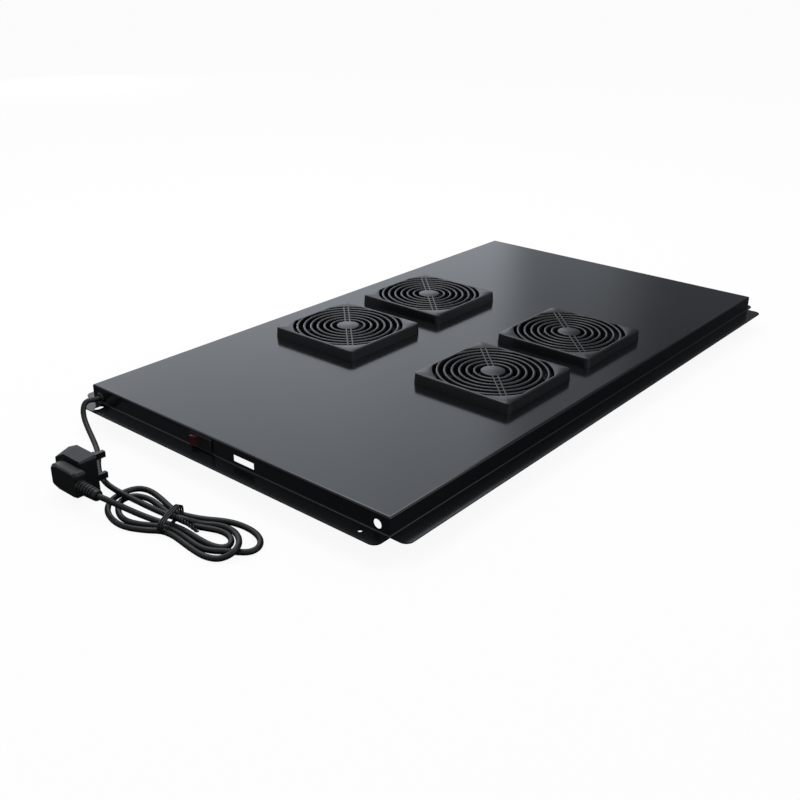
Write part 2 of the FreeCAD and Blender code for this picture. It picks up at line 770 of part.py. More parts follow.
# ---------------------------------------------------------------- cord
LEAD = [
    V(-cable_hole_x, front_y - bush_head_depth, cable_z),
    V(-cable_hole_x, -383.5, cable_z),
    V(-197.4, -389.6, 28.8),
    V(-198.4, -395.2, 26.4),
    V(-195.2, -399.8, 20.4),
    V(-188.5, -403.5, 14.2),
    V(-177.5, -407.5, 8.8),
    V(-163.5, -412.5, 4.6),
    V(-147.0, -419.5, cord_radius),
    V(-128.0, -429.5, cord_radius),
    V(-110.0, -442.6, cord_radius),
    V(-93.0, -452.4, cord_radius),
    V(-73.0, -460.0, cord_radius),
    V(-47.0, -464.1, cord_radius),
]


TAIL = [
    plug_place + V(plug_grip_cord + boot_length, -boot_axis, plug_width / 2),
    V(-22.0, -493.9, 20.2),
    V(-12.5, -491.2, 17.4),
    V(-3.0, -488.0, 13.6),
    V(6.0, -484.6, 9.4),
    V(15.0, -481.0, 5.4),
]


def cord_tube(points, name):
    """Tube along straight runs joined by tangent arcs, each as large as its two runs allow."""
    edges = []
    start = points[0]
    for before, here, after in zip(points, points[1:], points[2:]):
        a, b = (here - before), (after - here)
        shorter = min(a.Length, b.Length)
        turn = a.getAngle(b)
        reach = 0.45 * shorter
        radius = reach / math.tan(turn / 2)
        print(name, "arc radius", round(radius, 1), "turn", round(math.degrees(turn), 1), "run", round(a.Length, 1))
        a.normalize()
        b.normalize()
        first, last = here - a * reach, here + b * reach
        inward = (b - a).normalize()
        centre = here + inward * math.sqrt(radius ** 2 + reach ** 2)
        middle = centre - inward * radius
        edges.append(line(start, first))
        edges.append(Part.Arc(first, middle, last).toShape())
        start = last
    edges.append(line(start, points[-1]))
    path = Part.Wire(edges)
    direction = (points[1] - points[0]).normalize()
    section = Part.Wire([Part.Circle(points[0], direction, cord_radius).toShape()])
    tube = path.makePipeShell([section], True, False)
    expected = math.pi * cord_radius ** 2 * path.Length
    print(name, "length", round(path.Length, 1), "volume share", round(tube.Volume / expected, 4))
    return tube


HANK = [
    V(-49.0, -464.0, 0), V(-35.0, -442.5, 0), V(-12.0, -438.5, 0), V(12.0, -445.0, 0), V(32.0, -447.0, 0),
    V(51.0, -441.0, 0), V(70.0, -427.0, 0), V(96.0, -422.5, 0), V(119.0, -433.0, 0), V(124.0, -451.0, 0),
    V(114.0, -472.0, 0), V(88.0, -485.0, 0), V(58.0, -482.5, 0), V(38.0, -482.0, 0), V(20.0, -493.0, 0),
    V(-3.0, -502.5, 0), V(-28.0, -498.0, 0), V(-43.0, -483.0, 0),
]


def cord_hank():
    """Outer shape of the tied hank, two lobes with a waist."""
    outline = Part.BSplineCurve()
    outline.interpolate(HANK, PeriodicFlag=True)
    return Part.Face(Part.Wire([outline.toShape()])).extrude(V(0, 0, hank_height))


def cord_tie():
    """Band over the hank's waist."""
    band = block(-tie_width / 2, tie_width / 2, -tie_length / 2, tie_length / 2, 0, hank_height + tie_wall)
    return moved(turned(band, tie_turn), tie_place).cut(cord_hank())


# ---------------------------------------------------------------- all the pieces
def build():
    parts = {"tray_panel": tray_panel()}
    base, cover, housing = guard_base(), guard_cover(), fan_housing()
    rotor, shaft, stator = fan_rotor(), fan_shaft(), fan_stator()
    screw = fan_screw()
    screws = []
    for k, fan in enumerate(FANS, start=1):
        parts[f"guard_base_{k}"] = moved(base, fan)
        parts[f"guard_cover_{k}"] = moved(cover, fan)
        parts[f"fan_housing_{k}"] = moved(housing, fan)
        parts[f"fan_rotor_{k}"] = moved(turned(rotor, 20.0 * k), fan)
        parts[f"fan_shaft_{k}"] = moved(shaft, fan)
        parts[f"fan_stator_{k}"] = moved(stator, fan)
        screws += [moved(screw, fan + p) for p in square_pattern(fan_hole_pitch)]
    parts["fan_screws"] = Part.makeCompound(screws)
    parts["switch_body"] = switch_body()
    parts["switch_rocker"] = switch_rocker()
    parts["switch_blades"] = switch_blades()
    parts["cord_bush"] = cord_bush()
    parts["cord_inner_end"] = cord_inner_end()
    parts["terminal_block"] = terminal_block()
    parts["earth_stud"] = earth_stud()
    parts["earth_nut"] = earth_nut()
    parts["cord_lead"] = cord_tube(LEAD, "lead")
    parts["cord_tail"] = cord_tube(TAIL, "tail")
    parts["cord_hank"] = cord_hank()
    parts["cord_tie"] = cord_tie()
    parts["plug_body"] = plug_placed(plug_body())
    parts["plug_pins"] = plug_placed(plug_pins())
    parts["plug_fuse_drawer"] = plug_placed(plug_fuse_drawer())
    parts["plug_boot"] = plug_placed(plug_boot())
    return parts


os.makedirs("parts", exist_ok=True)
for node, shape in build().items():
    solids = shape.Solids
    whole = solids[0] if len(solids) == 1 else Part.makeCompound(solids)
    print(node, "solids", len(solids), "valid", whole.isValid(), "volume", round(whole.Volume))
    whole.exportStep(f"parts/{node}.step")
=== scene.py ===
import math
import bmesh
import bpy
import numpy as np
from mathutils import Matrix, Vector


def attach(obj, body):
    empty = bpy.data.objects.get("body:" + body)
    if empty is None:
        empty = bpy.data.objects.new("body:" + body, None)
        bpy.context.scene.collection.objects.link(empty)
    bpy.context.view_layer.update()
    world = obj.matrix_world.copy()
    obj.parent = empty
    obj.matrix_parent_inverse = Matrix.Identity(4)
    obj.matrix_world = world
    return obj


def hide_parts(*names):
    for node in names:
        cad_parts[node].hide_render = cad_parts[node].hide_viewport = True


# Rack fan tray: folded steel panel, four guarded fans, rocker switch, tied mains cord with its plug.
# All places are in millimetres in the tray's frame, and MM turns them into the scene's metres.

MM = 0.001
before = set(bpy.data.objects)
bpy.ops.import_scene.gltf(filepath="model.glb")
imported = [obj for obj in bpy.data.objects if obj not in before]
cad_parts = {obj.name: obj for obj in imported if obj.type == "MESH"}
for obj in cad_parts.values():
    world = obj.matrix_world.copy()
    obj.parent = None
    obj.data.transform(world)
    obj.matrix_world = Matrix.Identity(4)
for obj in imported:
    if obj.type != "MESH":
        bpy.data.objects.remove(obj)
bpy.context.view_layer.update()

# ---- sizes that the pieces share, in millimetres ----
PANEL_TOP = 39.2
GUARD_TOP = 51.2
GUARD_SIZE = 124.5
GUARD_CORNER = 5.0
GUARD_OPENING = (66.0, 58.25)    # radius, and the reach of the four flats that cut it
GUARD_LIP = 2.2                  # depth of the frame's top
RING_FIRST, RING_PITCH, RING_COUNT = 20.2, 8.1, 5
RING_OUTERMOST = (60.7, 59.4)    # radius, and the reach of the frame's flats that stop it
RING_HALF, RING_DEPTH, RING_CROWN = 1.45, 4.0, 0.6
RIB_BEARING, RIB_OFFSET = -45.0, 2.8
RIB_ENDS = ((-65.5, -12), (12, 65.5))
DISC_RADIUS = 13.5
FAN_CENTRES = [(-103.35, -85.95), (110.15, -85.95), (-103.35, 71.75), (110.15, 71.75)]
LARGE_PLANE = 200.0    # square millimetres
CORD = 5.6


# ---------------------------------------------------------------- meshes
def piece(name, vertices, faces, material, body="tray", angle=35.0):
    """Mesh object from points in millimetres and a list or array of faces, smooth below an edge angle."""
    mesh = bpy.data.meshes.new(name)
    mesh.from_pydata((np.asarray(vertices, float).reshape(-1, 3) * MM).tolist(), [], [list(f) for f in faces])
    mesh.update()
    made = bpy.data.objects.new(name, mesh)
    bpy.context.scene.collection.objects.link(made)
    mesh.materials.append(material)
    smooth_below(mesh, angle)
    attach(made, body)
    return made


def smooth_below(mesh, angle):
    """Smooth faces, with every edge sharper than the angle marked sharp."""
    mesh.polygons.foreach_set("use_smooth", [True] * len(mesh.polygons))
    mesh.set_sharp_from_angle(angle=math.radians(angle))


def grid_faces(rows, columns, close_rows=False, close_columns=False):
    """Quads of a rows x columns grid of points, each side closed into a loop on request."""
    r = np.arange(rows if close_rows else rows - 1)
    c = np.arange(columns if close_columns else columns - 1)
    a, b = np.meshgrid(r, c, indexing="ij")
    a2, b2 = (a + 1) % rows, (b + 1) % columns
    quads = np.stack([a * columns + b, a2 * columns + b, a2 * columns + b2, a * columns + b2], -1)
    return quads.reshape(-1, 4)


def joined(parts):
    """One set of points and faces from several (points, faces) pairs."""
    points, faces, start = [], [], 0
    for p, f in parts:
        p = np.asarray(p, float).reshape(-1, 3)
        points.append(p)
        faces += [[int(i) + start for i in face] for face in f]
        start += len(p)
    return np.concatenate(points), faces


def revolve(profile, centre, sides=64, axis="Z", close=True, start=0.0, sweep=360.0):
    """Surface of revolution: point (r, h) at angle t lies at r cos t, r sin t and h along the axis."""
    full = sweep >= 360.0
    t = np.radians(start + np.linspace(0, sweep, sides + (not full), endpoint=not full))
    r, h = np.asarray(profile, float).T
    x, y = np.outer(np.cos(t), r), np.outer(np.sin(t), r)
    z = np.broadcast_to(h, x.shape)
    order = {"Z": (x, y, z), "Y": (y, z, x), "X": (z, x, y)}[axis]
    points = np.stack(order, -1) + np.asarray(centre, float)
    faces = grid_faces(len(t), len(h), close_rows=full, close_columns=close)
    return points.reshape(-1, 3), faces


def keep_planes_flat(mesh, angle):
    """Corners on a large plane, and the corners of the bends that run into it, take the plane's own normal.

    Triangles with one normal and one distance from the origin make a plane, large from LARGE_PLANE upwards.
    """
    count = len(mesh.polygons)
    normal, middle = np.empty(3 * count), np.empty(3 * count)
    area, sides = np.empty(count), np.empty(count, int)
    for key, values in (("normal", normal), ("center", middle), ("area", area), ("loop_total", sides)):
        mesh.polygons.foreach_get(key, values)
    normal = normal.reshape(-1, 3)
    offset = (normal * middle.reshape(-1, 3)).sum(1) / MM
    plane = np.unique(np.c_[normal.round(3), offset.round(1)], axis=0, return_inverse=True)[1]
    plane = plane.ravel()
    large = np.bincount(plane, area)[plane] > LARGE_PLANE * MM ** 2
    owner = np.repeat(np.arange(count), sides)
    vertex = np.empty(len(owner), int)
    mesh.loops.foreach_get("vertex_index", vertex)
    shaded = np.empty(3 * len(owner))
    mesh.corner_normals.foreach_get("vector", shaded)
    shaded = shaded.reshape(-1, 3)
    shaded[large[owner]] = normal[owner[large[owner]]]
    beside = {}
    for corner in np.flatnonzero(large[owner]):
        beside.setdefault(vertex[corner], {})[plane[owner[corner]]] = normal[owner[corner]]
    for corner in np.flatnonzero(~large[owner]):
        near = [(float(n @ normal[owner[corner]]), n) for n in beside.get(vertex[corner], {}).values()]
        best = max(near, key=lambda pair: pair[0], default=(-1.0, None))
        if best[0] > math.cos(math.radians(angle)):
            shaded[corner] = best[1]
    mesh.normals_split_custom_set(shaded.tolist())


def merged(node, material, body, angle=35.0, name=None):
    """Copy of a CAD node with its loose triangles joined, smooth over its curves, in place of the node."""
    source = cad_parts[node]
    mesh = source.data.copy()
    made = bpy.data.objects.new(name or node + "_finished", mesh)
    bpy.context.scene.collection.objects.link(made)
    mesh.materials.clear()
    mesh.materials.append(material)
    work = bmesh.new()
    work.from_mesh(mesh)
    bmesh.ops.remove_doubles(work, verts=work.verts, dist=1e-6)
    work.to_mesh(mesh)
    work.free()
    if "custom_normal" in mesh.attributes:
        mesh.attributes.remove(mesh.attributes["custom_normal"])
    smooth_below(mesh, angle)
    keep_planes_flat(mesh, angle)
    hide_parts(node)
    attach(made, body)
    return made


# ---------------------------------------------------------------- materials
def linear(colour):
    """sRGB hex such as "#1f2021" to the four linear values that Blender's sockets take."""
    value = np.array([int(colour[i:i + 2], 16) for i in (1, 3, 5)]) / 255
    value = np.where(value <= 0.04045, value / 12.92, ((value + 0.055) / 1.055) ** 2.4)
    return (*value.tolist(), 1.0)


def add(tree, kind, inputs=None, **settings):
    """Adds a node with its own settings; inputs maps socket names or numbers to values or sockets to link."""
    made = tree.nodes.new(kind)
    for key, value in settings.items():
        setattr(made, key, value)
    for key, value in (inputs or {}).items():
        if isinstance(value, bpy.types.NodeSocket):
            tree.links.new(value, made.inputs[key])
        else:
            made.inputs[key].default_value = value
    return made


def finish_of(name, colour, roughness, grain_mm, bump_mm, metallic=0.0, ior=1.5, tint=None, wear=0.06):
    """A surface with one colour that drifts a little, fine grain in relief and slightly uneven gloss.

    grain_mm is the width of a grain, bump_mm its height, wear how far the roughness drifts.
    """
    material = bpy.data.materials.new(name)
    material.use_nodes = True
    tree = material.node_tree
    tree.nodes.clear()
    place = add(tree, "ShaderNodeTexCoord").outputs["Object"]
    grain = add(tree, "ShaderNodeTexNoise", {"Vector": place, "Scale": 1 / (grain_mm * MM), "Detail": 3.0})
    drift = add(tree, "ShaderNodeTexNoise", {"Vector": place, "Scale": 1 / 0.09, "Detail": 4.0})
    tone = add(tree, "ShaderNodeMix", {
        "Factor": drift.outputs["Fac"], "A": linear(colour), "B": linear(tint or colour),
    }, data_type="RGBA")
    gloss = add(tree, "ShaderNodeMapRange", {
        "Value": drift.outputs["Fac"], "From Min": 0.3, "From Max": 0.7,
        "To Min": max(roughness - wear, 0.02), "To Max": roughness + wear,
    })
    relief = add(tree, "ShaderNodeBump", {
        "Height": grain.outputs["Fac"], "Strength": 1.0, "Distance": bump_mm * MM,
    })
    surface = add(tree, "ShaderNodeBsdfPrincipled", {
        "Base Color": tone.outputs["Result"], "Roughness": gloss.outputs["Result"],
        "Normal": relief.outputs["Normal"], "Metallic": metallic, "IOR": ior,
    })
    add(tree, "ShaderNodeOutputMaterial", {"Surface": surface.outputs["BSDF"]})
    return material


def painted_shade_past(material, start, end, colour):
    """Painted shade: the material's colour turns into a second one between two places along X, in
    millimetres.
    """
    tree = material.node_tree
    surface = next(node for node in tree.nodes if node.type == "BSDF_PRINCIPLED")
    first = surface.inputs["Base Color"].links[0].from_socket
    place = add(tree, "ShaderNodeSeparateXYZ", {0: add(tree, "ShaderNodeTexCoord").outputs["Object"]})
    share = add(tree, "ShaderNodeMapRange", {
        "Value": place.outputs["X"], "From Min": start * MM, "From Max": end * MM,
    }, interpolation_type="SMOOTHSTEP")
    both = add(tree, "ShaderNodeMix", {
        "Factor": share.outputs["Result"], "A": first, "B": linear(colour),
    }, data_type="RGBA")
    tree.links.new(both.outputs["Result"], surface.inputs["Base Color"])


# Satin black powder coat on steel: cured in an oven, so it flows into a fine orange peel.
POWDER = finish_of("powder coat, satin black", "#0e0f11", 0.15, 1.6, 0.003, tint="#121316", wear=0.01)
# Moulded ABS, spark-eroded tool: an even fine grain that dulls the gloss.
GUARD_ABS = finish_of("moulded ABS, fine grain", "#08090a", 0.33, 0.7, 0.004, tint="#101112", wear=0.03)
# Die-cast aluminium, black paint over the casting skin.
CASTING = finish_of("painted aluminium casting", "#0f1010", 0.5, 1.2, 0.03, tint="#141515")
# Glass-filled polyester, moulded: dull, with the fibres just under the skin.
IMPELLER = finish_of("glass-filled polyester", "#2b2d2f", 0.36, 0.9, 0.012, tint="#333537")
# Zinc-plated steel: bright and faintly uneven.
ZINC = finish_of("zinc-plated steel", "#a9adb0", 0.32, 0.5, 0.004, metallic=1.0, tint="#b8bbb9")
# Enamelled copper wire, wound and varnished.
WINDING = finish_of("enamelled copper winding", "#7a3a1c", 0.35, 0.6, 0.12, tint="#8e4a25")
# Plated brass, as on a plug's pins; here on the switch's blades and the earth nut.
BRASS = finish_of("bright brass", "#b99a5b", 0.28, 0.5, 0.004, metallic=1.0, tint="#c6a96c")
# Black sleeve moulded round the plug's pins.
PIN_SLEEVE = finish_of("pin sleeve, nylon", "#0e0b0c", 0.38, 0.6, 0.006, tint="#151112", ior=1.42)
# Glossy nylon of the switch's bezel and body.
SWITCH_NYLON = finish_of("gloss nylon", "#161617", 0.25, 0.8, 0.004, tint="#1c1c1d")
# Red polycarbonate of the lit rocker: light goes into it and comes back.
ROCKER_RED = finish_of("red polycarbonate", "#300b0e", 0.3, 0.8, 0.003, tint="#4a1014", ior=1.58)
# Painted shade: from X -39 to -32 mm the red rocker turns near black, standing in for the shade on its right
# half, pressed into the bezel.
painted_shade_past(ROCKER_RED, -39.0, -32.0, "#0f0b0b")
# Uncoloured polyamide of the terminal block.
TERMINAL = finish_of("natural polyamide", "#d8d4c6", 0.45, 0.8, 0.01, tint="#cfcab9")
# Soft PVC of the mains cord, extruded: satin, faintly rippled.
CORD_PVC = finish_of("cord PVC, satin", "#070808", 0.45, 1.4, 0.012, tint="#0d0e0f", ior=1.42)
# Harder PVC of the moulded plug and its strain relief.
PLUG_PVC = finish_of("moulded PVC, fine grain", "#0a0c0d", 0.44, 0.8, 0.015, tint="#0f1112", ior=1.42)
# PVC over the tie's wire.
TIE_PVC = finish_of("tie PVC", "#080808", 0.45, 1.0, 0.01, tint="#0c0c0d", ior=1.42)


# ---------------------------------------------------------------- tray
merged("tray_panel", POWDER, "tray", angle=40)


# ---------------------------------------------------------------- guards
def square_reach(t, half, corner):
    """Distance from the middle to a rounded square's edge in direction t.

    It is half / max(|cos|, |sin|) along the sides, and where that passes a corner's start it is the far
    crossing with the corner's circle.
    """
    a = np.maximum(abs(np.cos(t)), abs(np.sin(t)))
    b = np.minimum(abs(np.cos(t)), abs(np.sin(t)))
    side = half / a
    middle = half - corner
    along = middle * (a + b)
    round_part = along + np.sqrt(np.maximum(along ** 2 - 2 * middle ** 2 + corner ** 2, 0))
    return np.where(side * b <= middle, side, round_part)


def guard_shape():
    """The guard's frame, rings, rib pair and centre disc, about the middle of the guard."""
    top, low = GUARD_TOP, PANEL_TOP
    half = GUARD_SIZE / 2
    radius_of_opening, flat_of_opening = GUARD_OPENING
    cut = math.acos(flat_of_opening / radius_of_opening)
    t = np.unique(np.concatenate([
        np.linspace(0, 2 * np.pi, 240, endpoint=False),
        *[[k * np.pi / 2 + cut, (k + 1) * np.pi / 2 - cut] for k in range(4)],
    ]))
    opening = np.minimum(radius_of_opening, flat_of_opening / np.maximum(abs(np.cos(t)), abs(np.sin(t))))
    stations = [
        (square_reach(t, half, GUARD_CORNER), low),
        (square_reach(t, half - 0.62, GUARD_CORNER), top - 1.3),
        (square_reach(t, half - 0.75, 4.9), top - 0.7),
        (square_reach(t, half - 1.05, 4.6), top - 0.25),
        (square_reach(t, half - 1.6, 4.1), top),
        (opening + 0.5, top),
        (opening + 0.15, top - 0.15),
        (opening, top - 0.5),
        (opening, top - GUARD_LIP),
        (square_reach(t, half - 2.4, 3.2), top - GUARD_LIP),
        (square_reach(t, half - 1.8, 3.2), low),
    ]
    r = np.stack([s[0] for s in stations], 1)
    z = np.broadcast_to([s[1] for s in stations], r.shape)
    frame_points = np.stack([r * np.cos(t)[:, None], r * np.sin(t)[:, None], z], -1)
    parts = [(frame_points, grid_faces(len(t), len(stations), True, True))]

    crowned = [(x, -RING_CROWN * abs(x / RING_HALF) ** 2.2) for x in np.linspace(-1.3, 1.3, 11)]
    left, right = [(-RING_HALF, -RING_DEPTH), (-RING_HALF, -1)], [(RING_HALF, -1), (RING_HALF, -RING_DEPTH)]
    section = left + crowned + right
    for k in range(RING_COUNT):
        radius = RING_FIRST + RING_PITCH * k
        parts.append(revolve([(radius + dx, top + dz) for dx, dz in section], (0, 0, 0), 96))
    outermost, stop = RING_OUTERMOST
    edge = math.degrees(math.acos(stop / outermost))
    for k in range(4):
        points, faces = revolve([(outermost + dx, top + dz) for dx, dz in section], (0, 0, 0), 24,
                                start=90 * k + edge, sweep=90 - 2 * edge)
        n = len(section)
        caps = [list(range(n)), list(range(len(points) - 1, len(points) - n - 1, -1))]
        parts.append((points, faces.tolist() + caps))
    across = np.array([(-1.0, -4), (-1.0, -0.6), (-0.7, -0.12), (0, 0), (0.7, -0.12), (1.0, -0.6), (1.0, -4)])
    turn = np.radians(RIB_BEARING)
    for shift in (-RIB_OFFSET, RIB_OFFSET):
        for ends in RIB_ENDS:
            x = np.repeat(ends, len(across))
            y = np.tile(across[:, 0] + shift, 2)
            zz = np.tile(across[:, 1] + top, 2)
            turned_x = x * np.cos(turn) - y * np.sin(turn)
            turned_y = x * np.sin(turn) + y * np.cos(turn)
            n = len(across)
            caps = [list(range(n)), list(range(2 * n - 1, n - 1, -1))]
            faces = grid_faces(2, n, False, True).tolist() + caps
            parts.append((np.stack([turned_x, turned_y, zz], -1), faces))
    under, r = top - RING_DEPTH, DISC_RADIUS
    disc = [(0, under), (r, under), (r, top - 0.5), (r - 0.15, top - 0.15), (r - 0.5, top), (0, top)]
    parts.append(revolve(disc, (0, 0, 0), 72, close=False))
    return joined(parts)


guard_points, guard_faces = guard_shape()
for number, (x, y) in enumerate(FAN_CENTRES, start=1):
    cover = piece(f"guard_{number}", guard_points + [x, y, 0], guard_faces, GUARD_ABS, f"cover_{number}", 40)
    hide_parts(f"guard_cover_{number}")
    merged(f"guard_base_{number}", GUARD_ABS, "tray")
    merged(f"fan_housing_{number}", CASTING, "tray")
    merged(f"fan_rotor_{number}", IMPELLER, f"impeller_{number}")
    merged(f"fan_shaft_{number}", ZINC, f"impeller_{number}")
    merged(f"fan_stator_{number}", WINDING, "tray", angle=15)
merged("fan_screws", ZINC, "tray")

# ---------------------------------------------------------------- switch, bush and inner parts
merged("switch_body", SWITCH_NYLON, "tray")
merged("switch_rocker", ROCKER_RED, "rocker", angle=20)
merged("switch_blades", BRASS, "tray")
merged("cord_bush", SWITCH_NYLON, "tray")
merged("cord_inner_end", CORD_PVC, "tray")
merged("terminal_block", TERMINAL, "tray")
merged("earth_stud", ZINC, "tray")
merged("earth_nut", BRASS, "tray")

# ---------------------------------------------------------------- plug
plug = merged("plug_body", PLUG_PVC, "tray")
plug_pins = merged("plug_pins", PIN_SLEEVE, "tray", angle=15)
plug_fuse_drawer = merged("plug_fuse_drawer", ROCKER_RED, "tray")


def boot_shape():
    """Tapered boot, turned about its axis, with six grooves that let it bend."""
    start, end = -59.0, -31.0
    root, tip = 6.2, 5.3
    groove_pitch, groove_depth = 3.9, 1.0
    outside = [(root, start), (root, start + 2.4)]
    for k in range(6):
        x = start + 3.0 + groove_pitch * k
        r = np.interp(x, [start + 0.3 * (end - start), end], [root, tip])
        outside += [(r, x), (r - groove_depth, x + 0.3), (r - groove_depth, x + 1.3), (r, x + 1.6)]
    outside += [(tip, end - 1.2), (tip - 0.5, end - 0.3), (tip - 1.3, end)]
    in_the_plug = [(2.6, start - 3.9), (4.4, start - 3.9), (4.4, start)]
    return revolve(in_the_plug + outside + [(2.6, end)], (0, -494.5, 21.0), 48, axis="X")


plug_boot = piece("ribbed_boot", *boot_shape(), PLUG_PVC, "tray", 30)
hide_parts("plug_boot")

# ---------------------------------------------------------------- cord
# Points of the cord's middle line from the bush to the plug's boot. The stretches at LIE lie on the floor.
LIE = CORD / 2
LEAD = [
    (-195.6, -378.0, 27.4), (-195.6, -383.5, 27.4), (-197.4, -389.6, 28.8), (-198.4, -395.2, 26.4),
    (-195.2, -399.8, 20.4), (-188.5, -403.5, 14.2), (-177.5, -407.5, 8.8), (-163.5, -412.5, 4.6),
    (-147.0, -419.5, LIE), (-128.0, -429.5, LIE), (-110.0, -442.6, LIE), (-93.0, -452.4, LIE),
    (-75.0, -458.5, LIE), (-58.0, -461.0, 3.6),
]
# The cord's six passes through the tie, with the loops between them.
OVER_THE_LOOPS = [
    (-38.5, -465.5, 8.2), (-26.5, -465.5, 8.4), (-15.5, -462.5, 6.0),
    (-4.0, -460.5, 4.5), (10.0, -460.0, 5.0),
    (26.0, -460.5, 7.0),
]
MIDDLE_RIGHT_LOOP = [
    (39.0, -457.5, 8.6), (47.0, -451.0, 5.0), (53.0, -445.5, LIE), (61.0, -440.0, LIE), (70.0, -436.5, LIE),
    (82.0, -437.0, 4.0), (95.0, -442.5, 6.5), (106.0, -450.5, 8.4),
    (112.0, -459.0, 8.4), (110.5, -466.0, 5.0),
    (105.5, -473.0, LIE), (98.0, -477.5, LIE), (88.0, -479.0, LIE), (73.0, -478.0, LIE), (58.0, -476.0, LIE),
    (46.0, -475.0, LIE),
]
OUTER_LEFT_LOOP = [
    (34.0, -476.5, LIE), (25.0, -483.5, LIE), (15.5, -489.0, LIE), (6.5, -493.0, LIE), (-4.0, -495.0, LIE),
    (-16.5, -493.5, LIE), (-29.0, -489.0, LIE), (-38.5, -481.5, LIE),
    (-44.0, -473.5, LIE), (-46.5, -465.5, LIE),
    (-47.0, -456.5, LIE), (-45.5, -448.5, LIE), (-40.5, -442.5, LIE),
    (-30.0, -440.0, LIE), (-14.0, -442.0, LIE),
    (2.0, -445.5, LIE), (20.5, -449.5, LIE),
]
OUTER_RIGHT_LOOP = [
    (35.5, -445.0, LIE), (48.0, -439.5, LIE), (59.0, -432.5, LIE), (70.0, -427.5, LIE), (82.0, -425.0, LIE),
    (94.5, -425.0, LIE), (106.0, -428.0, LIE), (114.5, -434.0, LIE),
    (118.5, -442.0, LIE), (117.0, -450.0, LIE),
    (109.5, -456.0, LIE), (101.0, -461.5, LIE), (93.5, -467.5, LIE), (85.0, -471.5, LIE), (74.0, -472.0, LIE),
    (61.0, -470.5, LIE), (46.5, -469.0, LIE),
]
INNER_LEFT_LOOP = [
    (31.5, -471.0, LIE), (19.0, -477.5, LIE), (8.0, -484.0, LIE), (-2.5, -487.0, LIE), (-14.0, -486.0, LIE),
    (-25.0, -480.5, LIE), (-33.0, -474.0, LIE), (-37.0, -466.5, LIE),
    (-36.5, -458.5, LIE), (-31.0, -453.0, LIE),
    (-20.5, -450.0, LIE), (-9.0, -450.5, LIE), (5.0, -453.0, LIE), (23.0, -455.0, LIE),
]
INNER_RIGHT_LOOP = [
    (37.0, -454.0, LIE), (50.0, -453.0, LIE), (61.0, -448.0, LIE), (72.0, -443.5, LIE), (83.0, -443.0, LIE),
    (92.0, -447.0, LIE), (97.0, -454.0, LIE), (94.5, -460.5, LIE), (85.5, -464.0, LIE), (73.0, -464.5, LIE),
    (59.5, -464.0, LIE), (44.0, -463.5, LIE),
]
TO_THE_PLUG = [
    (28.5, -466.0, LIE), (19.0, -470.0, 3.6), (9.0, -474.5, 6.0), (-1.0, -479.5, 9.4), (-10.5, -484.5, 13.4),
    (-19.5, -489.5, 17.4), (-25.5, -493.0, 20.2), (-31.0, -494.5, 21.0),
]
LOOPS = (
    OVER_THE_LOOPS + MIDDLE_RIGHT_LOOP + OUTER_LEFT_LOOP
    + OUTER_RIGHT_LOOP + INNER_LEFT_LOOP + INNER_RIGHT_LOOP
)


def cord_curve(name, points, thickness, material):
    """Round cord along one smooth spline of order three that starts and ends on its end points."""
    curve = bpy.data.curves.new(name, "CURVE")
    curve.dimensions = "3D"
    curve.bevel_depth = thickness / 2 * MM
    curve.bevel_resolution = 6
    curve.resolution_u = 8
    curve.use_fill_caps = True
    spline = curve.splines.new("NURBS")
    spline.points.add(len(points) - 1)
    flat = np.c_[np.asarray(points, float) * MM, np.ones(len(points))].ravel()
    spline.points.foreach_set("co", flat)
    spline.order_u = 3
    spline.use_endpoint_u = True
    made = bpy.data.objects.new(name, curve)
    bpy.context.scene.collection.objects.link(made)
    curve.materials.append(material)
    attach(made, "tray")
    return made


route = LEAD + LOOPS + TO_THE_PLUG
cord = cord_curve("mains_cord", route, CORD, CORD_PVC)
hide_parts("cord_lead", "cord_hank", "cord_tail")


def swept(path, radius, sides=8):
    """Round tube along points: a ring at each point, across the direction between its two neighbours.

    The ring is radius * (cos t u + sin t v), where u and v are square to that direction.
    """
    path = np.asarray(path, float)
    along = np.gradient(path, axis=0)
    along /= np.linalg.norm(along, axis=1)[:, None]
    side = np.cross(along, [0.31, 0.17, 0.94])
    side /= np.linalg.norm(side, axis=1)[:, None]
    up = np.cross(side, along)
    t = np.linspace(0, 2 * np.pi, sides, endpoint=False)
    r = np.broadcast_to(np.asarray(radius, float), len(path))[:, None, None]
    rings = path[:, None] + r * (np.cos(t)[:, None] * side[:, None] + np.sin(t)[:, None] * up[:, None])
    last = len(path) - 1
    caps = [list(range(sides))[::-1], list(range(last * sides, (last + 1) * sides))]
    return rings.reshape(-1, 3), grid_faces(len(path), sides, False, True).tolist() + caps


def squared_off(wave):
    """Square root of a sine or cosine, sign kept: it makes an ellipse a superellipse of power four."""
    return np.sign(wave) * np.sqrt(abs(wave))


